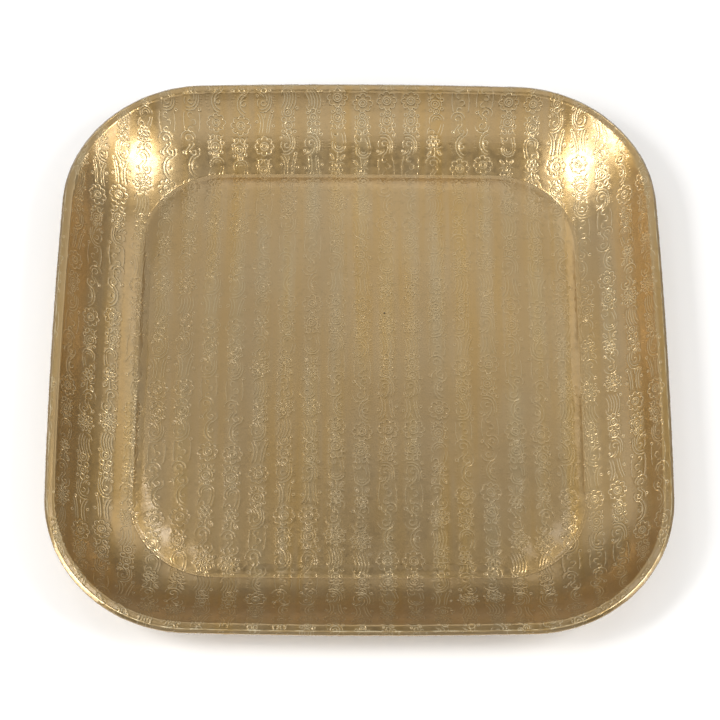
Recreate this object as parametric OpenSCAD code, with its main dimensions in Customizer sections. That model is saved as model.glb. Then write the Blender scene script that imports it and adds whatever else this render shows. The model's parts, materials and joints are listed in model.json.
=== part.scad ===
// Square serving tray, pressed from one embossed brass sheet.
// The sheet's edge is rolled round a stiffening wire, so the tray is two pieces:
// the pan and the wire inside its rim.
// Origin: under the middle of the tray, on the plane that it stands on. +Z is up.

/* [Tray] */
// Overall width across the rim, at the middle of the sides
tray_w = 500; // [400:5:620]
// Overall depth across the rim, at the middle of the sides
tray_d = 500; // [400:5:620]
// Overall height, from the seat to the top of the rim
tray_h = 46; // [36:1:60]
// Radius of the rim's outer edge at the corners
corner_r = 117; // [90:1:142]
// Angle that each side of the rim turns from its middle to its end
side_bow = 1.5; // [0.5:0.5:6]

/* [Sheet] */
// Thickness of the brass sheet
sheet_t = 0.9; // [0.7:0.05:1.5]

/* [Wall] */
// Width of the sloping wall in plan, from the seat to the rim, at the middle of a side
wall_run = 56; // [40:0.5:70]
// Angle by which the wall starts flatter and ends steeper than its chord
wall_dish = 15; // [4:1:22]

/* [Floor] */
// Corner radius of the crease between floor and wall
floor_r = 71; // [50:1:95]
// Angle that each side of the crease turns from its middle to its end
floor_bow = 0.5; // [0.5:0.5:4]
// Width of the narrow flat seat just inside the crease, which the tray stands on
seat_w = 3; // [2:0.5:6]
// Width of the ramp from the seat up to the floor panel
ramp_w = 8; // [4:0.5:14]
// Corner radius of the floor panel, larger than the crease's, so that the ramp widens at the corners
panel_r = 104; // [80:1:125]
// Height of the floor panel above the seat
floor_rise = 2.4; // [1:0.1:4]

/* [Rim] */
// Diameter of the wire inside the rolled rim
wire_d = 4.5; // [3:0.25:7]
// Clearance between the wire and the sheet rolled round it
wire_gap = 0.1; // [0.06:0.02:0.3]
// Width of the flat ledge, from the top of the wall to the crown of the roll
ledge_w = 4.8; // [3:0.2:9]
// Angle that the sheet wraps round the wire, from the crown
roll_turn = 270; // [225:22.5:292.5]
// Gap between the butted ends of the wire
butt_gap = 1; // [0.5:0.25:3]

/* [Hidden] */

brass = "#b3935b";
steel = "#8d8f91";

// Facets: steps round one corner, along one side, across the ramp, up the wall, and round the whole wire
corner_steps = 12;
side_steps = 6;
ramp_steps = 2;
wall_steps = 8;
wire_sides = 16;

half_side = side_steps / 2;
quarter = corner_steps + side_steps;
stations = 4 * quarter;
roll_step = 360 / wire_sides;
roll_steps = roll_turn / roll_step;

// Radius of the sheet's middle surface round the wire, and of the finished roll
roll_r = wire_d / 2 + wire_gap + sheet_t / 2;
bead_r = roll_r + sheet_t / 2 / cos(roll_step / 2);
wire_z = tray_h - roll_r - sheet_t / 2;
rim_w = bead_r + ledge_w;
seat_z = sheet_t / 2;
rim_z = wire_z + roll_r;
// Lengths of the wall curve's handles, as shares of its chord
handle = 0.38;
// The ramp falls away from the panel as this power of the distance
ramp_power = 1.6;

function turned(p, angle) = [p.x * cos(angle) - p.y * sin(angle), p.x * sin(angle) + p.y * cos(angle)];
function unit(v) = v / norm(v);

// An outline is eight tangent arcs: a flat one for each side and a tight one for each corner.
// Step 0 of a quarter is the middle of one side, and its last step is the middle of the next.
function bearing(step, bow) =
    step <= half_side ? bow * step / half_side
    : step <= half_side + corner_steps ? bow + (90 - 2 * bow) * (step - half_side) / corner_steps
    : 90 - bow * (quarter - step) / half_side;

function quarter_point(ahead, aside, r, bow, step) =
    let (
        s = sin(bow),
        c = 1 - cos(bow),
        det = s * s - c * c,
        reach_a = ((aside - r) * s - (ahead - r) * c) / det,
        reach_b = ((ahead - r) * s - (aside - r) * c) / det,
        angle = bearing(step, bow)
    )
    step <= half_side ?
        [ahead - (reach_a + r) * (1 - cos(angle)), (reach_a + r) * sin(angle)]
    : step >= half_side + corner_steps ?
        [(reach_b + r) * cos(angle), aside - (reach_b + r) * (1 - sin(angle))]
    : [reach_b * s + r * cos(angle), reach_a * s + r * sin(angle)];

// Point number i of the outline that lies `inset` inside the tray's outer edge at mid-side
function outline_point(inset, r, bow, i) =
    let (
        turn = floor(i / quarter),
        across = turn % 2 == 0 ? [tray_w, tray_d] / 2 : [tray_d, tray_w] / 2
    )
    turned(quarter_point(across.x - inset, across.y - inset, r, bow, i - turn * quarter), 90 * turn);

function rim_point(inset, i) = outline_point(inset, corner_r - inset, side_bow, i);
function floor_point(inside_crease, i) =
    outline_point(rim_w + wall_run + inside_crease, floor_r - inside_crease, floor_bow, i);

function at_height(p, z) = [p.x, p.y, z];

// The wall's section: a cubic curve that starts flatter and ends steeper than its chord
function wall_curve(run, rise, v) =
    let (
        chord = norm([run, rise]),
        slope = atan2(rise, run),
        foot = handle * chord * [cos(slope - wall_dish), sin(slope - wall_dish)],
        top = [run, rise] - handle * chord * [cos(slope + wall_dish), sin(slope + wall_dish)]
    )
    3 * v * pow(1 - v, 2) * foot + 3 * v * v * (1 - v) * top + pow(v, 3) * [run, rise];

function wall_point(i, v) =
    let (
        foot = floor_point(0, i),
        top = rim_point(rim_w, i),
        run = norm(top - foot),
        along = wall_curve(run, rim_z - seat_z, v)
    )
    at_height(foot + (top - foot) * along.x / run, seat_z + along.y);

function roll_point(i, angle) =
    at_height(rim_point(bead_r - roll_r * cos(angle), i), wire_z + roll_r * sin(angle));

function panel_point(i) = outline_point(rim_w + wall_run + seat_w + ramp_w, panel_r, floor_bow, i);

function ramp_point(i, v) =
    at_height(
        panel_point(i) * (1 - v) + floor_point(seat_w, i) * v,
        seat_z + floor_rise * (1 - pow(v, ramp_power))
    );

// The sheet's middle surface at station i, from the floor panel's edge out to the end of the roll
function section(i) = [
    for (k = [0 : ramp_steps]) ramp_point(i, k / ramp_steps),
    for (k = [0 : wall_steps]) wall_point(i, k / wall_steps),
    for (k = [0 : roll_steps]) roll_point(i, 90 - k * roll_step)
];
rows = ramp_steps + wall_steps + roll_steps + 3;

middle = [for (i = [0 : stations - 1]) section(i)];

// Unit normal of the strip from row j to row j + 1 at station i. The floor panel is level.
function strip_normal(i, j) =
    j < 0 ? [0, 0, 1]
    : let (
        along = middle[(i + 1) % stations][j] - middle[(i + stations - 1) % stations][j],
        out = middle[i][j + 1] - middle[i][j]
    )
    unit(cross(out, along));

// Step from the middle surface to a face, mitred so that the sheet keeps its thickness at bends
function to_face(i, j) =
    let (
        before = strip_normal(i, j - 1),
        after = j == rows - 1 ? before : strip_normal(i, j)
    )
    sheet_t / 2 * (before + after) / (1 + before * after);

// Two triangles for the quad a, b, c, d
function quad(a, b, c, d) = [[a, b, c], [a, c, d]];

module tray_pan() {
    upper = [for (i = [0 : stations - 1]) for (j = [0 : rows - 1]) middle[i][j] + to_face(i, j)];
    lower = [for (i = [0 : stations - 1]) for (j = [0 : rows - 1]) middle[i][j] - to_face(i, j)];
    under = stations * rows;
    last = rows - 1;
    skins = [
        for (i = [0 : stations - 1])
        let (here = i * rows, next = (i + 1) % stations * rows)
        for (j = [0 : last - 1])
        each concat(
            quad(here + j, next + j, next + j + 1, here + j + 1),
            quad(under + here + j, under + here + j + 1, under + next + j + 1, under + next + j)
        )
    ];
    edge = [
        for (i = [0 : stations - 1])
        let (here = i * rows + last, next = (i + 1) % stations * rows + last)
        each quad(here, next, under + next, under + here)
    ];
    panel = [
        [for (i = [stations - 1 : -1 : 0]) i * rows],
        [for (i = [0 : stations - 1]) under + i * rows]
    ];
    color(brass)
        polyhedron(points = concat(upper, lower), faces = concat(skins, edge, panel), convexity = 8);
}

// The wire is one length, and its ends butt at the middle of the back
module rim_wire() {
    back = rim_point(bead_r, quarter);
    line = [
        back - [butt_gap / 2, 0],
        for (i = [quarter + 1 : quarter + stations - 1]) rim_point(bead_r, i % stations),
        back + [butt_gap / 2, 0]
    ];
    facing = [
        for (i = [quarter : quarter + stations])
        let (turn = floor(i / quarter))
        90 * turn + bearing(i - turn * quarter, side_bow)
    ];
    last = len(line) - 1;
    points = [
        for (k = [0 : last])
        for (n = [0 : wire_sides - 1])
        let (out = wire_d / 2 * cos(n * roll_step), up = wire_d / 2 * sin(n * roll_step))
        at_height(line[k] + out * [cos(facing[k]), sin(facing[k])], wire_z + up)
    ];
    skin = [
        for (k = [0 : last - 1])
        for (n = [0 : wire_sides - 1])
        let (m = (n + 1) % wire_sides)
        each quad(
            k * wire_sides + n,
            k * wire_sides + m,
            (k + 1) * wire_sides + m,
            (k + 1) * wire_sides + n
        )
    ];
    ends = [
        [for (n = [wire_sides - 1 : -1 : 0]) n],
        [for (n = [0 : wire_sides - 1]) last * wire_sides + n]
    ];
    color(steel) polyhedron(points = points, faces = concat(skin, ends), convexity = 8);
}

tray_pan();
rim_wire();
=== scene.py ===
"""Looks of a square serving tray: one embossed brass sheet, pressed to shape and rolled round a wire."""

import json
import math

import bpy
import numpy as np
from mathutils import Matrix, Vector, noise
from mathutils.bvhtree import BVHTree
from mathutils.geometry import delaunay_2d_cdt

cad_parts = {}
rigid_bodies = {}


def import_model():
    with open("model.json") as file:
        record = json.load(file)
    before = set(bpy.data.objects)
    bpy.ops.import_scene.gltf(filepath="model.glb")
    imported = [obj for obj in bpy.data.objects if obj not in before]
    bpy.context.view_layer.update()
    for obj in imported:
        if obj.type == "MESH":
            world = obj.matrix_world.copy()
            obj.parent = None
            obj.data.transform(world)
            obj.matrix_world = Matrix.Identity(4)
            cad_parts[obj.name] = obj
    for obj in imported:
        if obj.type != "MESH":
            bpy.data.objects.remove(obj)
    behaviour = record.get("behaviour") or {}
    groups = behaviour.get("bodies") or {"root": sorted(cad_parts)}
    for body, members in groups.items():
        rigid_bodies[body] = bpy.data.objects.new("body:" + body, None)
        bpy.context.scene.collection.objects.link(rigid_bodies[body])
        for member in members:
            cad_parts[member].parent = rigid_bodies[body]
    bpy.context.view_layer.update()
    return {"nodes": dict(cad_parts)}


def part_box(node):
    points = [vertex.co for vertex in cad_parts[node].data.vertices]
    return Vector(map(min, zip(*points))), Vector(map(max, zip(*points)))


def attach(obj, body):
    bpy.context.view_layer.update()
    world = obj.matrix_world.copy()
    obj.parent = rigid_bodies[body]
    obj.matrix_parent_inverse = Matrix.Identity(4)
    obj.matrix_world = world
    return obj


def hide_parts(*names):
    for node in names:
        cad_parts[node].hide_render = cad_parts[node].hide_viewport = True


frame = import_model()

MM = 0.001

# The pan's sizes, in metres. Its overall size is the frame's.
PAN_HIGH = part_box("tray_pan")[1]
HALF = PAN_HIGH.x
TOP = PAN_HIGH.z
WIRE_LOW, WIRE_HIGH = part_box("rim_wire")
WIRE_Z = (WIRE_LOW.z + WIRE_HIGH.z) / 2
WIRE_R = (WIRE_HIGH.z - WIRE_LOW.z) / 2
SHEET = 0.9 * MM
WIRE_GAP = 0.1 * MM
CORNER_R = 117 * MM
SIDE_BOW = math.radians(1.5)
WALL_RUN = 56 * MM
WALL_DISH = math.radians(15)
WALL_HANDLE = 0.38
FLOOR_R = 71 * MM
FLOOR_BOW = math.radians(0.5)
SEAT_W = 3 * MM
RAMP_W = 8 * MM
PANEL_R = 104 * MM
FLOOR_RISE = 2.4 * MM
LEDGE_W = 4.8 * MM
ROLL_R = WIRE_R + WIRE_GAP + SHEET / 2
BEAD_R = TOP - WIRE_Z
RIM_W = BEAD_R + LEDGE_W

# The embossing: columns of stamped motifs, each a drawing of raised lines
COLUMN_PITCH = 20.9 * MM
COLUMN_SHIFT = 2.1 * MM
MOTIF_PITCH = 19.2 * MM
LINE_STEP = 1.15 * MM
LINE_HALF = 0.5 * MM
LINE_LIFT = 0.29 * MM


# ---------------------------------------------------------------- small tools


def linear(colour):
    """An sRGB hex colour as linear red, green, blue and alpha."""
    parts = [int(colour[i : i + 2], 16) / 255 for i in (1, 3, 5)]
    return [c / 12.92 if c <= 0.04045 else ((c + 0.055) / 1.055) ** 2.4 for c in parts] + [1.0]


def add_node(tree, kind, inputs=None, **settings):
    """Adds a node. Settings are its properties; inputs are values, or sockets that link to it."""
    made = tree.nodes.new(kind)
    for name, value in settings.items():
        setattr(made, name, value)
    for name, value in (inputs or {}).items():
        if isinstance(value, bpy.types.NodeSocket):
            tree.links.new(value, made.inputs[name])
        else:
            made.inputs[name].default_value = value
    return made


def add_mesh(name, points, faces, smooth=True):
    """A mesh object at the origin, with its place in its mesh."""
    mesh = bpy.data.meshes.new(name)
    mesh.from_pydata(np.asarray(points, dtype=float), [], faces)
    mesh.validate()
    mesh.shade_smooth() if smooth else mesh.shade_flat()
    piece = bpy.data.objects.new(name, mesh)
    bpy.context.scene.collection.objects.link(piece)
    return piece


def keep_value(piece, name, values):
    piece.data.attributes.new(name, "FLOAT", "POINT").data.foreach_set("value", values)


# ---------------------------------------------------------------- the pan's shape


def outline(half, radius, bow, side_steps, corner_steps):
    """A rounded square with bowed sides, of eight tangent arcs, from the middle of the right side."""
    reach = (half - radius) / (math.sin(bow) + 1 - math.cos(bow))
    side = np.linspace(0, bow, side_steps, endpoint=False)
    corner = np.linspace(bow, math.pi / 2 - bow, corner_steps, endpoint=False)
    last = np.linspace(math.pi / 2 - bow, math.pi / 2, side_steps, endpoint=False)
    far = reach + radius
    quarter = np.concatenate(
        [
            np.stack([half - far * (1 - np.cos(side)), far * np.sin(side)], 1),
            reach * math.sin(bow) + radius * np.stack([np.cos(corner), np.sin(corner)], 1),
            np.stack([far * np.cos(last), half - far * (1 - np.sin(last))], 1),
        ]
    )
    x, y = quarter.T
    return np.concatenate([np.stack(p, 1) for p in ((x, y), (-y, x), (-x, -y), (y, -x))])


SIDE_STEPS, CORNER_STEPS, WALL_STEPS = 30, 90, 24
EASE_TIMES = 2
# Shares of the ramp's width at which it has a ring
RAMP_SHARES = (0, 0.25, 0.45, 0.62, 0.76, 0.88, 1)
# The ramp's height falls as a power of the distance, which is higher where the ramp is wide
RAMP_WIDE = 9 * MM
RAMP_POWERS = (1.2, 2.0)
PANEL_MARGIN = 3 * MM
# Half the width of the groove along the foot of the walls, and its depth
CREASE_HALF = 0.8 * MM
CREASE_DEEP = 0.12 * MM
# How much further the ramp comes in along the back
BACK_EASE = 7 * MM
# The ledge falls outwards, from just above its level at the wall to a crown that is rubbed thin
LEDGE_RISE = 0.25 * MM
CROWN_WEAR = 0.09 * MM
PANEL = SHEET + FLOOR_RISE


def rim_line(inset):
    """The outline that lies this far inside the tray's outer edge."""
    return outline(HALF - inset, CORNER_R - inset, SIDE_BOW, SIDE_STEPS, CORNER_STEPS)


def floor_line(inside):
    """The outline that lies this far inside the foot of the walls."""
    half = HALF - RIM_W - WALL_RUN - inside
    return outline(half, FLOOR_R - inside, FLOOR_BOW, SIDE_STEPS, CORNER_STEPS)


def panel_line(inside):
    """The outline that lies this far inside the edge of the floor panel."""
    half = HALF - RIM_W - WALL_RUN - SEAT_W - RAMP_W - inside
    return outline(half, PANEL_R - inside, FLOOR_BOW, SIDE_STEPS, CORNER_STEPS)


def wall_section(steps):
    """The wall's section as shares of its run and as heights: it starts flat and ends steep."""
    end = np.array([WALL_RUN, TOP - SHEET])
    handle = WALL_HANDLE * math.hypot(*end)
    slope = math.atan2(end[1], end[0])
    foot = handle * np.array([math.cos(slope - WALL_DISH), math.sin(slope - WALL_DISH)])
    head = end - handle * np.array([math.cos(slope + WALL_DISH), math.sin(slope + WALL_DISH)])
    v = np.linspace(0, 1, steps + 1)[:, None]
    along = 3 * v * (1 - v) ** 2 * foot + 3 * v * v * (1 - v) * head + v**3 * end
    return along[:, 0] / WALL_RUN, along[:, 1]


def ease(rows, times):
    """Cuts the corners of every section, so that its bends are rounded as a press leaves them."""
    for _ in range(times):
        near, far = rows[:-1], rows[1:]
        cut = np.empty((2 * len(near), *rows.shape[1:]))
        cut[0::2] = 0.75 * near + 0.25 * far
        cut[1::2] = 0.25 * near + 0.75 * far
        rows = np.concatenate([rows[:1], cut, rows[-1:]])
    return rows


def ramp_top(inside):
    """The floor panel's edge. Along the back the ramp comes in further, so it is gentler there."""
    line = panel_line(inside)
    line[:, 1] -= BACK_EASE * np.clip(line[:, 1] / line[:, 1].max(), 0, 1) ** 4
    return line


def upper_rows():
    """Rings of the pan's upper face, from the floor panel out to the crown of the roll."""

    def at(points, z):
        return np.column_stack([points, np.full(len(points), z)])

    edge, seat = ramp_top(0), floor_line(SEAT_W)
    power = np.clip(np.hypot(*(seat - edge).T) / RAMP_WIDE, *RAMP_POWERS)
    rows = [at(ramp_top(PANEL_MARGIN), PANEL)]
    for v in RAMP_SHARES:
        rows.append(np.column_stack([edge * (1 - v) + seat * v, SHEET + FLOOR_RISE * (1 - v**power)]))

    foot, head = floor_line(0), rim_line(RIM_W)
    shares, heights = wall_section(WALL_STEPS)
    wall_start = SHEET + CREASE_HALF * heights[1] / (shares[1] * WALL_RUN)
    rows.append(at(floor_line(CREASE_HALF), SHEET))
    rows.append(at(foot, SHEET - CREASE_DEEP))
    rows.append(at(floor_line(-CREASE_HALF), wall_start))
    rows += [at(foot + (head - foot) * s, SHEET + z) for s, z in zip(shares[1:], heights[1:])]
    rows[-1][:, 2] += LEDGE_RISE
    rows.append(at(rim_line(BEAD_R), TOP - CROWN_WEAR))
    return ease(np.array(rows), EASE_TIMES)


def ring_faces(rows, stations):
    """Quads between neighbouring rings, facing up where the rings run outwards."""
    here = np.arange(stations)
    after = (here + 1) % stations
    quads = []
    for row in range(rows - 1):
        near, far = row * stations, (row + 1) * stations
        quads.append(np.stack([near + here, near + after, far + after, far + here], 1))
    return np.concatenate(quads)[:, ::-1]


rings = upper_rows()
stations = rings.shape[1]
surface = BVHTree.FromPolygons(rings.reshape(-1, 3).tolist(), ring_faces(len(rings), stations).tolist())
DOWN = Vector((0, 0, -1))


def on_pan(x, y):
    """The pan's upper face under a point in plan: its height and normal. Past the crown it is level."""
    hit, normal, _, _ = surface.ray_cast(Vector((x, y, 1)), DOWN)
    if hit is None:
        inside = max(abs(x), abs(y)) < HALF - RIM_W - WALL_RUN
        return (PANEL if inside else TOP), Vector((0, 0, 1))
    return hit.z, normal if normal.z > 0 else -normal


# ---------------------------------------------------------------- the embossed drawings, in millimetres


def ring(x, y, r, stretch=1.0, turn=0.0):
    n = max(8, round(2 * math.pi * r * max(1, stretch) / (LINE_STEP / MM)))
    a = np.linspace(0, 2 * math.pi, n, endpoint=False)
    flat = np.stack([r * stretch * np.cos(a), r * np.sin(a)])
    t = math.radians(turn)
    spin = np.array([[math.cos(t), -math.sin(t)], [math.sin(t), math.cos(t)]])
    return (spin @ flat).T + [x, y], True


def arc(x, y, r, start, end, r_end=None):
    """An arc between two angles in degrees, or a spiral if it ends at another radius."""
    r_end = r if r_end is None else r_end
    length = abs(math.radians(end - start)) * (r + r_end) / 2
    n = max(4, round(length / (LINE_STEP / MM)) + 1)
    a = np.radians(np.linspace(start, end, n))
    radius = np.linspace(r, r_end, n)
    return np.stack([x + radius * np.cos(a), y + radius * np.sin(a)], 1), False


def sweep(*points):
    """A smooth line pulled towards its middle points."""
    points = np.array(points, dtype=float)
    length = np.linalg.norm(np.diff(points, axis=0), axis=1).sum()
    t = np.linspace(0, 1, max(3, round(length / (LINE_STEP / MM)) + 1))[:, None]
    degree = len(points) - 1
    line = sum(math.comb(degree, k) * t**k * (1 - t) ** (degree - k) * p for k, p in enumerate(points))
    return line, False


def dash(x, y, turn=0.0, length=1.3):
    t = math.radians(turn)
    step = np.array([math.cos(t), math.sin(t)]) * length / 2
    return np.array([np.array([x, y]) - step, [x, y], np.array([x, y]) + step]), False


def around(count, distance, x=0.0, y=0.0, start=0.0):
    for k in range(count):
        turn = start + 360 * k / count
        t = math.radians(turn)
        yield x + distance * math.cos(t), y + distance * math.sin(t), turn


def paisley():
    return [
        sweep((-4.4, 6.4), (-6.8, -1.0), (-4.6, -8.8), (0.5, -9.2), (5.2, -8.0)),
        sweep((-2.4, 7.6), (-5.2, 0.6), (-3.2, -6.4), (0.8, -6.9), (4.6, -5.6)),
        sweep((2.6, 8.8), (-1.4, 6.0), (-2.2, 2.0), (-1.6, -0.9)),
        arc(1.1, -0.9, 2.7, 180, 510, 1.0),
        sweep((4.9, 7.8), (0.8, 5.6), (0.7, 3.2)),
        arc(1.1, -0.9, 4.7, -52, 44),
        *[dash(-7.2, y, 0, 1.6) for y in (5.4, 3.4, 1.4, -0.6, -2.6)],
        ring(-6.2, -7.4, 1.1),
        sweep((6.7, 8.2), (2.6, 6.6), (3.4, 3.8)),
        ring(5.9, 4.8, 0.9),
    ]


def berries():
    return [
        ring(0.3, -1.4, 3.2),
        ring(0.3, -1.4, 1.5),
        ring(-2.2, 5.4, 1.5, 1.5, 60),
        ring(2.6, 5.6, 1.5, 1.5, 120),
        ring(-4.9, 1.9, 1.5),
        ring(4.9, 2.2, 1.2),
        ring(-0.6, -7.3, 2.3),
        ring(-0.6, -7.3, 0.9),
        ring(4.0, -6.2, 1.2),
        ring(-4.8, -5.2, 1.1),
        arc(0.3, -1.4, 5.0, 150, 215),
        arc(0.3, -1.4, 5.0, -35, 30),
        sweep((-6.4, 8.4), (-4.6, 7.6), (-4.2, 4.8)),
        sweep((6.4, 8.4), (4.8, 7.6), (4.6, 5.0)),
    ]


def rosette():
    petals = [arc(x, y, 2.05, turn - 125, turn + 125) for x, y, turn in around(8, 5.5)]
    seeds = [dash(x, y, turn, 1.5) for x, y, turn in around(8, 5.6)]
    return [ring(0, 0, 3.1), ring(0, 0, 1.7), *petals, *seeds]


def slips():
    return [
        sweep((-6.6, 8.6), (-3.6, 2.0), (-3.2, -8.2)),
        sweep((-4.6, 9.0), (-1.8, 2.4), (-1.4, -8.4)),
        sweep((4.2, 9.0), (0.2, 4.4), (0.8, -2.0), (2.4, -8.2)),
        sweep((6.4, 8.6), (2.6, 4.4), (2.8, -1.6), (4.8, -8.8)),
        sweep((-0.4, 8.8), (-0.2, 6.0), (0.6, 3.4)),
        ring(6.2, 1.6, 1.0),
        ring(-6.6, -1.4, 1.0),
        *[dash(-6.6, y, 20, 1.5) for y in (4.6, 2.2, -4.6, -7.0)],
        *[dash(6.6, y, -20, 1.5) for y in (-2.0, -4.6)],
    ]


def scroll():
    return [
        arc(1.6, 4.2, 1.0, -160, 230, 3.8),
        sweep((-0.9, 1.4), (-4.8, -1.6), (3.4, -3.0), (1.0, -6.6)),
        sweep((2.0, 0.2), (-1.6, -1.6), (6.8, -3.6), (3.6, -9.0)),
        arc(-1.8, -6.0, 0.8, 20, 400, 2.8),
        arc(1.6, 4.2, 5.5, -10, 185),
        arc(-1.8, -6.0, 4.4, 130, 285),
        ring(5.6, -6.2, 1.1),
        *[dash(-5.8, y, 0) for y in (2.0, -0.6)],
        *[dash(6.2, y, 0) for y in (-1.6, 1.0)],
    ]


def daisy():
    petals = [ring(x, y, 1.4, 1.25, turn) for x, y, turn in around(7, 4.9, start=20)]
    seeds = [ring(x, y, 0.8) for x, y, _ in around(7, 7.4, start=46)]
    return [ring(0, 0, 2.5), ring(0, 0, 1.1), *petals, *seeds]


def nested_leaf():
    return [
        sweep((-3.2, 7.8), (-7.0, 0.0), (-1.8, -8.6)),
        sweep((-0.6, 8.8), (-5.0, 1.0), (0.4, -7.8)),
        sweep((2.4, 5.8), (0.0, -1.0), (5.2, -8.8)),
        sweep((4.6, 6.6), (2.2, -0.6), (7.0, -6.4)),
        sweep((0.4, 9.0), (5.4, 9.8), (6.4, 3.0)),
        sweep((1.0, 7.2), (-2.4, 1.0), (2.6, -8.4)),
        ring(-5.4, -6.6, 1.0),
        *[dash(-7.0, y, 0, 1.5) for y in (6.6, 4.4, 2.2)],
    ]


def chain():
    return [
        ring(0, 7.0, 2.9),
        ring(0, 7.0, 1.1),
        ring(-3.1, 1.6, 1.9),
        ring(3.2, 1.6, 1.9),
        ring(0, -3.0, 2.9),
        ring(0, -3.0, 1.1),
        ring(0, -8.2, 2.1),
        ring(-4.5, -7.8, 1.1),
        ring(4.3, -7.2, 1.1),
        arc(0, 7.0, 4.6, 150, 225),
        arc(0, 7.0, 4.6, -45, 30),
        arc(0, -3.0, 4.6, 150, 210),
        arc(0, -3.0, 4.6, -30, 30),
    ]


def arches():
    hoops = [arc(-0.8, 2.6, r, -14 - 5 * r, 184) for r in (1.7, 3.5, 5.4)]
    return [
        *hoops,
        sweep((-6.2, 1.6), (-6.0, -3.4), (-4.0, -8.8)),
        sweep((-4.3, 1.6), (-4.0, -3.0), (-1.8, -7.4)),
        *[dash(6.6, y, 0, 1.7) for y in (6.4, 3.9, 1.4, -1.1)],
        arc(1.8, -6.2, 2.6, -30, 250, 1.0),
        sweep((3.4, -1.6), (6.0, -4.0), (5.4, -8.6)),
    ]


def posy():
    heads = [ring(x, y, 1.5) for x, y, _ in around(6, 3.6, 0.4, 4.2)]
    leaves = [ring(-3.6, -5.0, 1.1, 2.3, 55), ring(4.0, -5.2, 1.1, 2.3, 125)]
    veins = [dash(-3.6, -5.0, 55, 2.6), dash(4.0, -5.2, 125, 2.6)]
    ties = [sweep((-6.4, 0.4), (-4.0, -1.6), (-0.4, -1.6)), sweep((6.6, 0.2), (4.4, -1.8), (0.8, -1.6))]
    stem = sweep((0.2, -0.4), (-0.6, -4.0), (0.4, -9.0))
    return [ring(0.4, 4.2, 1.6), *heads, *leaves, *veins, *ties, stem]


def comb():
    return [
        sweep((-4.4, 9.0), (4.6, 8.0), (5.0, -7.4), (-4.0, -9.2)),
        sweep((-4.8, 6.8), (2.0, 6.2), (2.2, -5.8), (-4.6, -6.8)),
        arc(-2.4, 0.0, 0.8, 90, 480, 3.0),
        *[dash(6.4 - 0.05 * y * y, y, 0, 1.7) for y in (-6.4, -4.0, -1.5, 1.2, 3.8, 6.2)],
    ]


def knot():
    sides = ((1, 5.4), (-1, -0.2), (1, -5.8))
    links = [arc(0.8 * side, y, 2.6, 90 - 200 * side, 90 + 90 * side, 1.4) for side, y in sides]
    rails = [sweep((5.4 * side, 8.6), (7.2 * side, 0.0), (5.0 * side, -8.4)) for side in (-1, 1)]
    return [*links, *rails]


# In the order in which they follow one another down a column
MOTIFS = (
    paisley,
    berries,
    rosette,
    slips,
    paisley,
    chain,
    nested_leaf,
    daisy,
    scroll,
    posy,
    arches,
    berries,
    rosette,
    comb,
    scroll,
    knot,
)

# Share of its height and width that an open line has at its end and one step in
END_TAPER = (0.12, 0.85)


def raised_line(line, closed):
    """Left foot, crest and right foot at each point of a line, which tapers to nothing at open ends."""
    if closed:
        ahead = np.roll(line, -1, 0) - np.roll(line, 1, 0)
        fade = np.ones(len(line))
    else:
        ahead = np.gradient(line, axis=0)
        from_end = np.minimum(np.arange(len(line)), np.arange(len(line))[::-1])
        fade = np.interp(from_end, [0, 1, 2], [*END_TAPER, 1])
    aside = np.stack([-ahead[:, 1], ahead[:, 0]], 1) / np.linalg.norm(ahead, axis=1)[:, None]
    width = LINE_HALF * fade[:, None] * aside
    line = line * MM
    level = np.zeros(len(line))
    feet = [np.column_stack([line + side * width, level]) for side in (1, -1)]
    crest = np.column_stack([line, LINE_LIFT * fade])
    points = np.stack([feet[0], crest, feet[1]], 1).reshape(-1, 3)
    here = 3 * np.arange(len(line) if closed else len(line) - 1)
    after = (here + 3) % (3 * len(line))
    left = np.stack([here, here + 1, after + 1, after], 1)
    return points, np.concatenate([left, left + 1])


def motif_drawings():
    """One flat drawing for each motif, in a collection of its own."""
    drawings = bpy.data.collections.new("motifs")
    for place, motif in enumerate(MOTIFS):
        points, faces, count = [], [], 0
        for line, closed in motif():
            p, f = raised_line(line, closed)
            points.append(p)
            faces.append(f + count)
            count += len(p)
        piece = add_mesh(f"{place:02d}_{motif.__name__}", np.concatenate(points), np.concatenate(faces))
        bpy.context.scene.collection.objects.unlink(piece)
        drawings.objects.link(piece)
    return drawings


# ---------------------------------------------------------------- flat blank and pressed pan

# The grid in which the blank is laid out, and how far it reaches from the middle
GRID_STEP = 2 * MM
GRID_REACH = 280 * MM


def flat_blank():
    """The blank before pressing. Each point knows where it lies in plan once pressed: lengths along
    the columns and across them are kept, as a drawn sheet keeps them."""
    line = np.arange(-GRID_REACH, GRID_REACH + GRID_STEP / 2, GRID_STEP)
    n = len(line)
    height = np.array([[on_pan(x, y)[0] for x in line] for y in line])
    middle = n // 2

    def laid_out(h):
        steps = np.hypot(GRID_STEP, np.diff(h, axis=1))
        far = np.concatenate([np.zeros((n, 1)), np.cumsum(steps, axis=1)], 1)
        return far - far[:, middle : middle + 1]

    across, along = laid_out(height), laid_out(height.T).T
    x, y = np.meshgrid(line, line)
    flat = np.stack([across, along, np.zeros_like(x)], 2).reshape(-1, 3)
    i = (np.arange(n - 1)[:, None] * n + np.arange(n - 1)[None]).ravel()
    blank = add_mesh("blank", flat, np.stack([i, i + 1, i + n + 1, i + n], 1))
    pressed = blank.data.attributes.new("pressed", "FLOAT_VECTOR", "POINT")
    pressed.data.foreach_set("vector", np.stack([x, y, np.zeros_like(x)], 2).ravel())
    return blank, across


# How unevenly the motifs are stamped: the most that a column slides, as a share of the pitch, the most
# that a motif is off its column, its sizes, and how many neighbouring columns share an order of motifs
SLIDE = 0.2
JOG = 0.7 * MM
SIZES = (1.06, 1.18)
SAME_ORDER = 1.7

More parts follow.
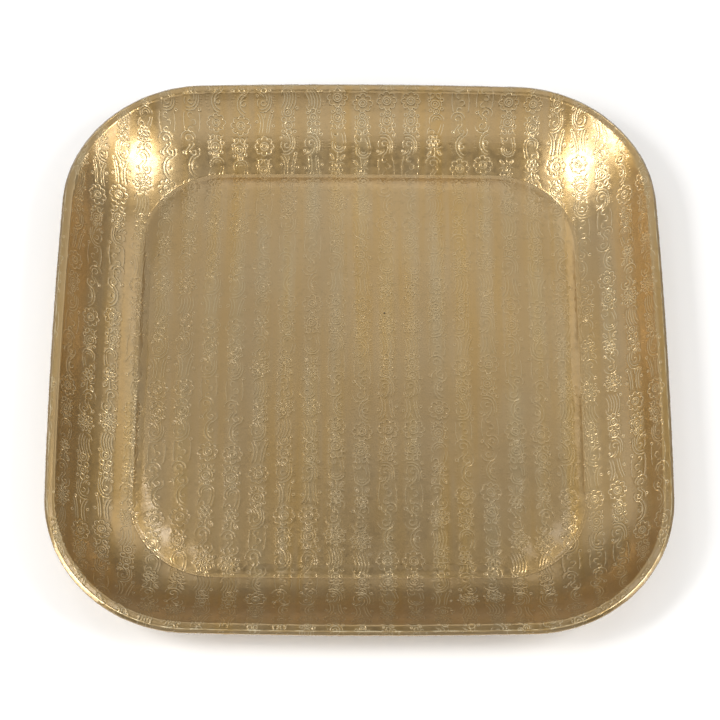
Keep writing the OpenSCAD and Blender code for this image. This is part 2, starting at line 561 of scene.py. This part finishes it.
EMBOSSING_INPUTS = (
    ("Column Pitch", "NodeSocketFloat", COLUMN_PITCH),
    ("Column Shift", "NodeSocketFloat", COLUMN_SHIFT),
    ("Motif Pitch", "NodeSocketFloat", MOTIF_PITCH),
    ("Columns", "NodeSocketInt", 27),
    ("Rows", "NodeSocketInt", 31),
    ("Turn", "NodeSocketFloat", math.radians(4)),
    ("Seed", "NodeSocketInt", 7),
    ("Motifs", "NodeSocketCollection", None),
    ("Blank", "NodeSocketObject", None),
    ("Material", "NodeSocketMaterial", None),
)


def embossing_nodes():
    """Geometry nodes: motifs stamped on the flat blank in columns, each slid at random, then pressed."""
    tree = bpy.data.node_groups.new("embossed_columns", "GeometryNodeTree")
    for name, kind, default in EMBOSSING_INPUTS:
        made = tree.interface.new_socket(name, in_out="INPUT", socket_type=kind)
        if default is not None:
            made.default_value = default
    tree.interface.new_socket("Geometry", in_out="OUTPUT", socket_type="NodeSocketGeometry")

    def node(kind, inputs=None, **settings):
        return add_node(tree, kind, inputs, **settings)

    def maths(operation, a, b):
        return node("ShaderNodeMath", {0: a, 1: b}, operation=operation).outputs[0]

    def chance(low, high, seed, ident=None, kind="FLOAT"):
        """A random number for each point, or for each value of ident."""
        made = node("FunctionNodeRandomValue", data_type=kind)
        ends = {"FLOAT": (2, 3), "INT": (4, 5)}[kind]
        for place, value in zip(ends, (low, high)):
            if isinstance(value, bpy.types.NodeSocket):
                tree.links.new(value, made.inputs[place])
            else:
                made.inputs[place].default_value = value
        if ident is not None:
            tree.links.new(ident, made.inputs["ID"])
        tree.links.new(maths("ADD", given["Seed"], seed), made.inputs["Seed"])
        return made.outputs[{"FLOAT": 1, "INT": 2}[kind]]

    given = node("NodeGroupInput").outputs
    size_x = maths("MULTIPLY", maths("SUBTRACT", given["Columns"], 1), given["Column Pitch"])
    size_y = maths("MULTIPLY", maths("SUBTRACT", given["Rows"], 1), given["Motif Pitch"])
    grid = node(
        "GeometryNodeMeshGrid",
        {
            "Size X": size_x,
            "Size Y": size_y,
            "Vertices X": given["Columns"],
            "Vertices Y": given["Rows"],
        },
    ).outputs["Mesh"]
    place = node("ShaderNodeSeparateXYZ", {0: node("GeometryNodeInputPosition").outputs[0]})
    column_place = maths("DIVIDE", maths("ADD", place.outputs[0], size_x), given["Column Pitch"])
    column = maths("ROUND", column_place, 0)
    slide = maths("MULTIPLY", chance(-SLIDE, SLIDE, 1, column), given["Motif Pitch"])
    jog = chance(-JOG, JOG, 2)
    offset = node("ShaderNodeCombineXYZ", {0: maths("ADD", given["Column Shift"], jog), 1: slide})
    points = node("GeometryNodeSetPosition", {"Geometry": grid, "Offset": offset.outputs[0]})

    row_place = maths("DIVIDE", maths("ADD", place.outputs[1], size_y), given["Motif Pitch"])
    row = maths("ROUND", row_place, 0)
    flip = chance(0, 3, 3, column, "INT")
    half_turn = maths("MULTIPLY", maths("GREATER_THAN", flip, 2), math.pi)
    lean = chance(-1.0, 1.0, 4)
    turn = maths("ADD", half_turn, maths("MULTIPLY", lean, given["Turn"]))
    grow = chance(*SIZES, 5)
    mirror = maths("SUBTRACT", maths("MULTIPLY", maths("GREATER_THAN", flip, 1), 2), 1)
    group = maths("ROUND", maths("DIVIDE", column, SAME_ORDER), 0)
    first = chance(0, len(MOTIFS) - 1, 8, group, "INT")
    choice = maths("FLOORED_MODULO", maths("ADD", row, first), len(MOTIFS))
    scale = node("ShaderNodeCombineXYZ", {0: maths("MULTIPLY", grow, mirror), 1: grow, 2: 1.0})
    motifs = node(
        "GeometryNodeCollectionInfo",
        {"Collection": given["Motifs"], "Separate Children": True, "Reset Children": True},
    )
    stamped = node(
        "GeometryNodeInstanceOnPoints",
        {
            "Points": points.outputs[0],
            "Instance": motifs.outputs[0],
            "Pick Instance": True,
            "Instance Index": choice,
            "Rotation": node("ShaderNodeCombineXYZ", {2: turn}).outputs[0],
            "Scale": scale.outputs[0],
        },
    )
    drawn = node("GeometryNodeRealizeInstances", {"Geometry": stamped.outputs[0]})

    spot = node("ShaderNodeSeparateXYZ", {0: node("GeometryNodeInputPosition").outputs[0]})
    level = node("ShaderNodeCombineXYZ", {0: spot.outputs[0], 1: spot.outputs[1]})
    pressed = node("GeometryNodeInputNamedAttribute", {"Name": "pressed"}, data_type="FLOAT_VECTOR")
    blank = node("GeometryNodeObjectInfo", {"Object": given["Blank"]})
    moved = node("GeometryNodeSampleNearestSurface", data_type="FLOAT_VECTOR")
    tree.links.new(blank.outputs["Geometry"], moved.inputs["Mesh"])
    tree.links.new(pressed.outputs[0], moved.inputs["Value"])
    tree.links.new(level.outputs[0], moved.inputs["Sample Position"])
    plan = node("ShaderNodeSeparateXYZ", {0: moved.outputs["Value"]})
    put = node("ShaderNodeCombineXYZ", {0: plan.outputs[0], 1: plan.outputs[1], 2: spot.outputs[2]})
    placing = {"Geometry": drawn.outputs[0], "Position": put.outputs[0]}
    laid = node("GeometryNodeSetPosition", placing).outputs[0]
    faced = node("GeometryNodeSetMaterial", {"Geometry": laid, "Material": given["Material"]})
    node("NodeGroupOutput", {"Geometry": faced.outputs[0]})
    return tree


def line_work(material):
    """Every raised line of the sheet as one plain mesh, in plan with its height as z, and how the blank
    is laid out across the columns."""
    blank, across = flat_blank()
    tree = embossing_nodes()
    carrier = add_mesh("line_work", [(0, 0, 0)], [])
    modifier = carrier.modifiers.new("embossing", "NODES")
    modifier.node_group = tree
    sockets = {s.name: s.identifier for s in tree.interface.items_tree if s.in_out == "INPUT"}
    drawings = motif_drawings()
    for name, value in (("Motifs", drawings), ("Blank", blank), ("Material", material)):
        modifier[sockets[name]] = value
    bpy.context.scene.collection.children.link(drawings)
    deps = bpy.context.evaluated_depsgraph_get()
    mesh = bpy.data.meshes.new_from_object(carrier.evaluated_get(deps))
    points = np.empty(3 * len(mesh.vertices))
    mesh.vertices.foreach_get("co", points)
    edges = np.empty(2 * len(mesh.edges), dtype=int)
    mesh.edges.foreach_get("vertices", edges)
    faces = np.empty(4 * len(mesh.polygons), dtype=int)
    mesh.polygons.foreach_get("vertices", faces)
    for piece in [carrier, blank, *drawings.objects]:
        bpy.data.objects.remove(piece)
    bpy.data.collections.remove(drawings)
    bpy.data.meshes.remove(mesh)
    return points.reshape(-1, 3), edges.reshape(-1, 2), faces.reshape(-1, 4), across


# ---------------------------------------------------------------- the embossed sheet

STRIP_CUTS = [COLUMN_SHIFT + COLUMN_PITCH * k for k in (-8.5, -5.5, -2.5, 0.5, 3.5, 6.5, 9.5)]
GROUND_STEP = 5 * MM
RING_GAP = 5 * MM
SHARP_BEND = math.radians(1)
WELD = 2e-6
# Lines run on past the crown by this share of the way to it, and plain ground fills this share
PAST_CROWN = 0.004
GROUND_REACH = 0.97
# Height of the embossing on the floor and on the rim, as shares of its height on the walls
FLOOR_LIFT = 0.62
RIM_LIFT = 0.8
FLOOR_CLIMB = 30 * MM
RIM_CLIMB = 6 * MM
# The swell under each column. It varies down the column, and each column reads its noise far from the
# next one's. It dies away at a line just outside the foot of the walls.
BAND_LIFT = 0.035 * MM
BAND_SPAN = 120 * MM
COLUMN_JUMP = 11
FOOT_OUT = 2 * MM
FOOT_EASE = 8 * MM
# How strongly a column's own colour shows, and how much its unevenness changes that
STAMPED_MEAN = 0.6
STAMPED_SPAN = 1.2
# Slow unevenness of the sheet, and how far from a crease it reaches its full height
WAVER = 0.35 * MM
WAVER_SPAN = 75 * MM
FLOOR_EASE = 25 * MM
WALL_EASE = 18 * MM
# Painted shade on the ledge, with more on its near side, and how much darker the floor is painted near
# its near left corner
LEDGE_SHADE = (0.1, 0.5)
LEDGE_EDGE = 1.5 * MM
FLOOR_DARKENING = 0.4
FLOOR_FADE = 300 * MM
FLOOR_EDGE = 10 * MM


def share_of(line, points):
    """How far out the points lie, as shares of an outline round the middle in the same directions."""
    bearing = np.arctan2(line[:, 1], line[:, 0])
    reach = np.hypot(*line.T)
    here = np.arctan2(points[:, 1], points[:, 0])
    return np.hypot(points[:, 0], points[:, 1]) / np.interp(here, bearing, reach, period=2 * math.pi)


def drop(tree, points, miss=0.0):
    """Heights at which vertical rays meet a surface."""
    hits = (tree.ray_cast(Vector((x, y, 1)), DOWN)[0] for x, y in points)
    return np.array([miss if hit is None else hit.z for hit in hits])


def on_grid(values, points):
    """Values of the blank's grid at points in plan."""
    at = (points + GRID_REACH) / GRID_STEP
    low = np.clip(np.floor(at).astype(int), 0, len(values) - 2)
    part = at - low
    (i, j), (s, t) = low.T, part.T
    near = values[j, i] * (1 - s) + values[j, i + 1] * s
    far = values[j + 1, i] * (1 - s) + values[j + 1, i + 1] * s
    return near * (1 - t) + far * t


def bends():
    """The rings to keep in the sheet: every ring at a sharp bend, and one now and then between."""
    section = rings[:, 0][:, [0, 2]]
    ahead = np.diff(section, axis=0)
    lean = np.arctan2(ahead[:, 1], ahead[:, 0])
    kept, last = [], section[0]
    for k in range(len(section)):
        turned = 0 < k < len(section) - 1 and abs(lean[k] - lean[k - 1]) > SHARP_BEND
        if turned or np.linalg.norm(section[k] - last) > RING_GAP or k == len(section) - 1:
            kept.append(rings[k][:, :2])
            last = section[k]
    return kept


def mesh_in_plan(points, edges):
    """Triangles over the whole sheet in plan, with an edge along every raised line, bend and cut."""
    crown = rim_line(BEAD_R)
    flat = points[:, :2]
    near = share_of(crown, flat) < 1 + PAST_CROWN
    along = edges[(np.abs(edges[:, 0] - edges[:, 1]) > 1) & near[edges].all(1)]
    number = np.cumsum(near) - 1
    places, joins = [flat[near]], [number[along]]
    count = int(near.sum())

    def add(line, closed):
        nonlocal count
        here = np.arange(len(line) if closed else len(line) - 1)
        places.append(line)
        joins.append(count + np.stack([here, (here + 1) % len(line)], 1))
        count += len(line)

    for ring_line in bends():
        add(ring_line, True)
    up = np.arange(-HALF, HALF, GROUND_STEP)
    for cut in STRIP_CUTS:
        add(np.column_stack([np.full(len(up), cut), up]), False)
    x, y = np.meshgrid(up, up)
    x[::2] += GROUND_STEP / 2
    ground = np.column_stack([x.ravel(), y.ravel()])
    places.append(ground[share_of(crown, ground) < GROUND_REACH])
    seeds = [Vector(p) for p in np.concatenate(places)]
    made = delaunay_2d_cdt(seeds, np.concatenate(joins).tolist(), [], 0, WELD, False)
    spots = np.array([tuple(p) for p in made[0]])
    faces = np.array(made[2])
    faces = faces[share_of(crown, spots[faces].mean(1)) < 1]
    used, faces = np.unique(faces, return_inverse=True)
    return spots[used], faces.reshape(-1, 3)


def lift_share(spots):
    """How far the embossing stands: the press flattens it on the floor and on the rim."""
    out = (share_of(floor_line(0), spots) - 1) * HALF
    climb = np.clip(out / FLOOR_CLIMB, 0, 1)
    share = FLOOR_LIFT + (1 - FLOOR_LIFT) * climb
    over = np.clip((share_of(rim_line(RIM_W), spots) - 1) * HALF / RIM_CLIMB + 1, 0, 1)
    return share + (RIM_LIFT - share) * over


def waver(spots):
    """Slow unevenness of a hand-worked sheet, none at the creases."""
    inward = (1 - share_of(floor_line(SEAT_W + RAMP_W), spots)) * HALF
    outward = (share_of(floor_line(0), spots) - 1) * HALF
    below = (1 - share_of(rim_line(RIM_W), spots)) * HALF
    on_floor = np.clip(inward / FLOOR_EASE, 0, 1)
    on_wall = np.clip(np.minimum(outward, below) / WALL_EASE, 0, 1)
    slow = np.array([noise.noise(Vector((x, y, 0)) / WAVER_SPAN) for x, y in spots])
    return WAVER * slow * (on_floor + on_wall)


def column_at(across, spots):
    """Which column each point is in, with its place across it, and how uneven the column is there."""
    column = (on_grid(across, spots) - COLUMN_SHIFT) / COLUMN_PITCH
    down = spots[:, 1] / BAND_SPAN
    places = [Vector((COLUMN_JUMP * round(c), d, 0)) for c, d in zip(column, down)]
    return column, np.array([noise.noise(place) for place in places])


def column_swell(column, uneven, spots):
    """The sheet bellies a little under each column, but not at the foot of the walls or on the ledge."""
    swell = BAND_LIFT * (1 + uneven) * np.cos(2 * math.pi * column)
    from_foot = (share_of(floor_line(-FOOT_OUT), spots) - 1) * HALF
    swell *= share_of(rim_line(RIM_W), spots) < 1
    return swell * (1 - np.exp(-((from_foot / FOOT_EASE) ** 2)))


def tarnish_at(spots):
    """Painted shade: darker on the ledge's near side; the floor is painted darker towards its near left
    corner.
    """
    past_wall = (share_of(rim_line(RIM_W), spots) - 1) * HALF
    least, more = LEDGE_SHADE
    ledge = (least + more * np.clip(-spots[:, 1] / HALF, 0, 1)) * np.clip(past_wall / LEDGE_EDGE, 0, 1)
    inside = (1 - share_of(floor_line(-FOOT_OUT), spots)) * HALF
    towards = np.clip(0.5 - spots.sum(1) / FLOOR_FADE, 0, 1)
    return ledge + FLOOR_DARKENING * towards * np.clip(inside / FLOOR_EDGE, 0, 1)


def vertex_normals(points, faces):
    a, b, c = (points[faces[:, k]] for k in range(3))
    across = np.cross(b - a, c - a)
    total = np.zeros_like(points)
    for k in range(3):
        np.add.at(total, faces[:, k], across)
    return total / np.maximum(np.linalg.norm(total, axis=1), 1e-20)[:, None]


def sheet_strip(number, faces, skins, shades, values, material):
    """One strip of the sheet as a closed solid: both its faces, and the cut edges between them."""
    used, own = np.unique(faces, return_inverse=True)
    own = own.reshape(-1, 3)
    n = len(used)
    rims = np.concatenate([own[:, [0, 1]], own[:, [1, 2]], own[:, [2, 0]]])
    key = rims[:, 0] * n + rims[:, 1]
    back = rims[:, 1] * n + rims[:, 0]
    a, b = rims[~np.isin(key, back)].T
    sides = np.concatenate([np.stack([a, a + n, b + n], 1), np.stack([a, b + n, b], 1)])
    solid = np.concatenate([own, own[:, ::-1] + n, sides])
    piece = add_mesh(f"sheet_strip_{number}", np.concatenate([skin[used] for skin in skins]), solid)
    normals = np.concatenate([shade[used] for shade in shades])
    piece.data.normals_split_custom_set_from_vertices(normals.tolist())
    for name, value in values.items():
        keep_value(piece, name, np.tile(value[used], 2))
    piece.data.materials.append(material)
    return piece


def embossed_sheet(lines, mesh, across, material):
    """The floor, the walls and the ledge: one sheet with the same relief on both faces, in strips that
    meet between columns."""
    spots, faces = mesh
    normals = np.empty((len(spots), 3))
    base = np.empty(len(spots))
    for k, (x, y) in enumerate(spots):
        base[k], normals[k] = on_pan(x, y)
    lift = drop(lines, spots) * lift_share(spots)
    column, uneven = column_at(across, spots)
    height = base + waver(spots) + column_swell(column, uneven, spots)
    upper = np.column_stack([spots, height]) + normals * lift[:, None]
    lower = upper - normals * SHEET
    lower[:, 2] = np.maximum(lower[:, 2], 0)
    skins = upper, lower
    shades = vertex_normals(upper, faces), vertex_normals(lower, faces[:, ::-1])
    strength = np.clip(STAMPED_MEAN + STAMPED_SPAN * uneven, 0, 1)
    values = {
        "raised": lift / LINE_LIFT,
        "stamped": (0.5 + 0.5 * np.cos(2 * math.pi * column)) * strength,
        "shade_and_tarnish": tarnish_at(spots),
    }
    strip = np.searchsorted(STRIP_CUTS, spots[faces][:, :, 0].mean(1))
    count = len(STRIP_CUTS) + 1
    return [sheet_strip(k + 1, faces[strip == k], skins, shades, values, material) for k in range(count)]


# ---------------------------------------------------------------- the rolled edge

ROLL_TURN = math.radians(270)
ROLL_STEPS = 22
# Steps along half a side and round a corner
ROLL_STATIONS = (140, 180)
# The shallow groove along the bead: its angle above the wire's level, its half width and its depth
GROOVE_AT = math.radians(48)
GROOVE_WIDE = math.radians(13)
GROOVE_DEEP = 0.45 * MM
# Dents, mostly inwards, that start this far round from the crown in radians
DENT = 0.2 * MM
DENT_SPAN = 9 * MM
DENT_INWARDS = 0.5
DENT_START = 0.6
# How far round from the crown, in radians, it is rubbed thin
WEAR_TURN = 0.3
ROLL_STAMPED = 0.4
# Turns from the crown: where a highlight is painted along the roll, broken in places, partly for rubbed
# wear, and where painted shade darkens it
WEAR_SHEEN_AT = math.radians(12)
WEAR_SHEEN_WIDE = math.radians(8)
WEAR_SHEEN_MEAN = 0.5
WEAR_SHEEN_SPAN = 1.4
ROLL_SHADE_TURN = np.radians([0, 18, 34, 72, 95])
ROLL_SHADE = [0.1, 0, 0.85, 0.85, 0.35]


def rolled_edge(lines, material):
    """The sheet's margin, rolled over the wire from the crown round to under the ledge."""
    axis = outline(HALF - BEAD_R, CORNER_R - BEAD_R, SIDE_BOW, *ROLL_STATIONS)
    out = outline(HALF, CORNER_R, SIDE_BOW, *ROLL_STATIONS) - axis
    out /= np.linalg.norm(out, axis=1)[:, None]
    face_r = ROLL_R + SHEET / 2
    rows, raised, shade_and_tarnish = [], [], []

    def row(radius, angle):
        plan = axis + out * (radius * math.cos(angle))[:, None]
        rows.append(np.column_stack([plan, WIRE_Z + radius * math.sin(angle)]))

    for turn in np.linspace(0, ROLL_TURN, ROLL_STEPS):
        angle = math.pi / 2 - turn
        unrolled = axis + out * turn * face_r
        lift = drop(lines, unrolled) * RIM_LIFT
        groove = GROOVE_DEEP * math.exp(-(((angle - GROOVE_AT) / GROOVE_WIDE) ** 2))
        start = min(1, turn / DENT_START)
        dent = np.array([noise.noise(Vector((x, y, 0)) / DENT_SPAN) for x, y in unrolled])
        wear = CROWN_WEAR * math.exp(-((turn / WEAR_TURN) ** 2))
        row(face_r - wear + lift - groove + DENT * start * (dent - DENT_INWARDS), angle)
        # A painted highlight along the roll near its crown, broken in places, partly standing for rubbed
        # wear
        places = np.clip(WEAR_SHEEN_MEAN + WEAR_SHEEN_SPAN * dent, 0, 1)
        wear_and_sheen = np.exp(-(((turn - WEAR_SHEEN_AT) / WEAR_SHEEN_WIDE) ** 2)) * places
        # Painted shade down the roll's outside, standing in for the dark surroundings it reflects
        shade_here = np.interp(turn, ROLL_SHADE_TURN, ROLL_SHADE)
        raised.append(np.maximum(lift / LINE_LIFT, wear_and_sheen))
        shade_and_tarnish.append(np.full(len(axis), shade_here))
    # The inner skin under the ledge, painted fully in shade
    for turn in np.linspace(ROLL_TURN, 0, ROLL_STEPS // 2):
        row(np.full(len(axis), ROLL_R - SHEET / 2), math.pi / 2 - turn)
        raised.append(np.zeros(len(axis)))
        shade_and_tarnish.append(np.ones(len(axis)))
    count = len(axis)
    faces = ring_faces(len(rows), count)
    here = np.arange(count)
    after = (here + 1) % count
    last = (len(rows) - 1) * count
    close = np.stack([last + here, here, after, last + after], 1)
    piece = add_mesh("rolled_edge", np.concatenate(rows), np.concatenate([faces, close]))
    keep_value(piece, "raised", np.concatenate(raised))
    keep_value(piece, "stamped", np.full(len(rows) * count, ROLL_STAMPED))
    keep_value(piece, "shade_and_tarnish", np.concatenate(shade_and_tarnish))
    piece.data.materials.append(material)
    return piece


# ---------------------------------------------------------------- materials

# Where the one dark pit in the floor is
SPECK = (21 * MM, 50 * MM, PANEL)


def new_material(name):
    material = bpy.data.materials.new(name)
    material.use_nodes = True
    tree = material.node_tree
    tree.nodes.clear()
    return material, tree


def blend(tree, factor, low, high, how="MIX"):
    """Mixes two colours. Each may be a hex colour or a socket."""
    made = add_node(tree, "ShaderNodeMix", data_type="RGBA", blend_type=how)
    for place, value in ((0, factor), (6, low), (7, high)):
        if isinstance(value, bpy.types.NodeSocket):
            tree.links.new(value, made.inputs[place])
        else:
            made.inputs[place].default_value = linear(value) if isinstance(value, str) else value
    return made.outputs[2]


def spread(tree, value, low, high, to_low=0.0, to_high=1.0):
    inputs = {"Value": value, "From Min": low, "From Max": high, "To Min": to_low, "To Max": to_high}
    return add_node(tree, "ShaderNodeMapRange", inputs).outputs[0]


def pattern(tree, place, size, detail=2.0, **settings):
    """A noise whose features are of the given size in metres along X, Y and Z."""
    scale = [1 / s for s in size]
    at = add_node(tree, "ShaderNodeMapping", {"Vector": place, "Scale": scale}, vector_type="POINT")
    inputs = {"Vector": at.outputs[0], "Scale": 1.0, "Detail": detail}
    return add_node(tree, "ShaderNodeTexNoise", inputs, **settings).outputs[0]


def speck_on(tree, place):
    """One small pit in the floor: 1 at its middle, 0 just over a millimetre away."""
    gap = add_node(tree, "ShaderNodeVectorMath", {0: place, 1: SPECK}, operation="DISTANCE")
    return spread(tree, gap.outputs["Value"], 0.5 * MM, 1.1 * MM, 1, 0)


def aged_brass():
    """Sheet brass, rolled, embossed, pressed, lacquered and left to tarnish: a warm satin metal with
    ochre and greyer streaks down the columns, raised lines rubbed paler than the ground, a painted
    highlight along the bead's crown, browner painted shade on the bead and the ledge, and a clear coat
    that makes the brightest highlights white."""
    material, tree = new_material("aged_satin_brass")
    place = add_node(tree, "ShaderNodeTexCoord").outputs["Object"]
    raised = add_node(tree, "ShaderNodeAttribute", attribute_name="raised").outputs["Fac"]
    stamped = add_node(tree, "ShaderNodeAttribute", attribute_name="stamped").outputs["Fac"]
    shade_and_tarnish = add_node(tree, "ShaderNodeAttribute", attribute_name="shade_and_tarnish").outputs["Fac"]

    streak = pattern(tree, place, (9 * MM, 190 * MM, 400 * MM), 3)
    wide = pattern(tree, place, (38 * MM, 260 * MM, 400 * MM), 2)
    cloud = pattern(tree, place, (70 * MM, 70 * MM, 70 * MM), 4)
    grime = pattern(tree, place, (5 * MM, 5 * MM, 5 * MM), 6)

    ground = blend(tree, spread(tree, streak, 0.38, 0.62), "#c4a263", "#c3a97a")
    ground = blend(tree, spread(tree, wide, 0.4, 0.66), ground, "#b8a177")
    ground = blend(tree, spread(tree, cloud, 0.45, 0.75, 0, 0.6), ground, "#b6965c")
    ground = blend(tree, spread(tree, stamped, 0.1, 0.9, 0.24, 0), ground, "#b38848")
    ground = blend(tree, spread(tree, grime, 0.55, 0.8, 0, 0.35), ground, "#907d52")
    # Painted shade: browner on the ledge's near side and on the roll's outside and inner skin; the floor
    # is painted darker towards its near left corner
    ground = blend(tree, spread(tree, shade_and_tarnish, 0, 1, 0, 0.75), ground, "#705c3a")
    ground = blend(tree, speck_on(tree, place), ground, "#3a2c18")
    # Raised lines rubbed paler; on the roll this also paints a highlight along the crown
    colour = blend(tree, spread(tree, raised, 0.35, 0.9, 0, 0.7), ground, "#e3d7b4")

    rough = spread(tree, grime, 0.3, 0.7, 0.28, 0.38)
    rough = blend(tree, spread(tree, raised, 0.35, 0.9), rough, [0.46, 0.46, 0.46, 1])

    skin = pattern(tree, place, (1.1 * MM, 1.6 * MM, 1.1 * MM), 3)
    bump = add_node(tree, "ShaderNodeBump", {"Strength": 0.4, "Distance": 0.03 * MM, "Height": skin})
    shader = add_node(
        tree,
        "ShaderNodeBsdfPrincipled",
        {
            "Base Color": colour,
            "Metallic": 1.0,
            "Roughness": rough,
            "Normal": bump.outputs[0],
            "Coat Weight": 1.0,
            "Coat Roughness": 0.17,
        },
    )
    add_node(tree, "ShaderNodeOutputMaterial", {"Surface": shader.outputs[0]})
    return material


def drawn_steel():
    """Cold-drawn steel wire: grey, finely marked, with a trace of brown where it has sweated."""
    material, tree = new_material("drawn_steel_wire")
    place = add_node(tree, "ShaderNodeTexCoord").outputs["Object"]
    mark = pattern(tree, place, (1 * MM, 1 * MM, 1 * MM), 3)
    stain = pattern(tree, place, (14 * MM, 14 * MM, 14 * MM), 3)
    colour = blend(tree, spread(tree, stain, 0.5, 0.75), "#8b8c8d", "#6f5f50")
    shader = add_node(
        tree,
        "ShaderNodeBsdfPrincipled",
        {"Base Color": colour, "Metallic": 1.0, "Roughness": spread(tree, mark, 0.3, 0.7, 0.3, 0.5)},
    )
    add_node(tree, "ShaderNodeOutputMaterial", {"Surface": shader.outputs[0]})
    return material


def studio_paper():
    """Matt white seamless paper."""
    material, tree = new_material("studio_paper")
    place = add_node(tree, "ShaderNodeTexCoord").outputs["Object"]
    fibre = pattern(tree, place, (0.3, 0.3, 0.3), 2)
    colour = blend(tree, fibre, "#f9f8f6", "#fbfaf9")
    shader = add_node(tree, "ShaderNodeBsdfPrincipled", {"Base Color": colour, "Roughness": 0.9})
    add_node(tree, "ShaderNodeOutputMaterial", {"Surface": shader.outputs[0]})
    return material


# ---------------------------------------------------------------- camera, floor and light

# Angles, then metres, and a lens in millimetres
CAMERA_HEIGHT = math.radians(63.46)
CAMERA_TURN = math.radians(-1.01)
CAMERA_ROLL = math.radians(1.135)
CAMERA_AWAY = 2.0526
CAMERA_ASIDE = 0.0005
CAMERA_UP = 0.007
CAMERA_LENS = 124.06


def make_camera():
    camera = bpy.data.objects.new("camera", bpy.data.cameras.new("camera"))
    camera.data.lens = CAMERA_LENS
    camera.data.clip_start = 0.1
    up, level = math.sin(CAMERA_HEIGHT), math.cos(CAMERA_HEIGHT)
    right, top, back = Vector((1, 0, 0)), Vector((0, up, level)), Vector((0, -level, up))
    spin = Matrix.Rotation(CAMERA_TURN, 4, "Z")
    axes = Matrix((right, top, back)).transposed().to_4x4()
    where = back * CAMERA_AWAY + right * CAMERA_ASIDE + top * CAMERA_UP
    roll = Matrix.Rotation(CAMERA_ROLL, 4, "Z")
    camera.matrix_world = spin @ Matrix.Translation(where) @ axes @ roll
    bpy.context.scene.collection.objects.link(camera)
    bpy.context.scene.camera = camera


# Every soft box is this far from the tray, and the paper reaches this far on each side of it
BOX_AWAY = 2.4
PAPER_REACH = 6
SKY_STRENGTH = 0.19


def soft_box(name, azimuth, elevation, wide, high, power):
    """A white soft box that faces the tray from a direction. Azimuth 0 is the front and 90 the right."""
    lamp = bpy.data.lights.new(name, "AREA")
    lamp.shape = "RECTANGLE"
    lamp.size, lamp.size_y = wide, high
    lamp.energy = power
    a, e = math.radians(azimuth), math.radians(elevation)
    back = Vector((math.sin(a) * math.cos(e), -math.cos(a) * math.cos(e), math.sin(e)))
    box = bpy.data.objects.new(name, lamp)
    box.location = back * BOX_AWAY
    box.rotation_euler = back.to_track_quat("Z", "Y").to_euler()
    bpy.context.scene.collection.objects.link(box)


def make_studio():
    scene = bpy.context.scene
    scene.view_settings.view_transform = "Standard"
    corners = [(x * PAPER_REACH, y * PAPER_REACH, 0) for x, y in ((-1, -1), (1, -1), (1, 1), (-1, 1))]
    paper = add_mesh("floor", corners, [(0, 1, 2, 3)], False)
    paper.data.materials.append(studio_paper())
    world = bpy.data.worlds.new("studio")
    scene.world = world
    world.use_nodes = True
    sky = world.node_tree.nodes["Background"]
    sky.inputs["Color"].default_value = linear("#ffffff")
    sky.inputs["Strength"].default_value = SKY_STRENGTH
    # Name, azimuth and elevation in degrees, width and height in metres, power in watts
    for box in (
        ("back_high", 180, 56, 1.2, 1.0, 2.5),
        ("back_low", 180, 34, 1.0, 1.0, 3),
        ("back_left", -138, 40, 1.1, 1.1, 2.0),
        ("back_right", 138, 40, 1.1, 1.1, 4),
        ("far_left", -116, 20, 1.2, 0.8, 2.2),
        ("far_right", 116, 20, 1.2, 0.8, 0.3),
        ("left_top", -130, 69, 0.3, 0.3, 2.4),
        ("left_high", -77, 54, 0.7, 0.5, 18),
        ("left_middle", -69, 41, 0.7, 0.5, 12),
        ("left_low", -70, 14, 1.2, 0.6, 22),
        ("right_top", 127, 70, 0.3, 0.3, 1),
        ("right_high", 77, 54, 0.7, 0.5, 12),
        ("right_middle", 69, 41, 0.7, 0.5, 14),
        ("right_low", 70, 14, 1.2, 0.6, 8),
        ("zenith", 0, 82, 1.2, 0.5, 0.7),
        ("front", 0, 38, 2.6, 1.6, 10),
    ):
        soft_box(*box)


# ---------------------------------------------------------------- the tray

make_camera()
make_studio()
brass = aged_brass()
points, edges, quads, across = line_work(brass)
lines = BVHTree.FromPolygons(points.tolist(), quads.tolist())
tray = embossed_sheet(lines, mesh_in_plan(points, edges), across, brass)
tray.append(rolled_edge(lines, brass))
for piece in tray:
    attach(piece, "root")
    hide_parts("tray_pan")

wire = frame["nodes"]["rim_wire"]
wire.data.materials.clear()
wire.data.materials.append(drawn_steel())
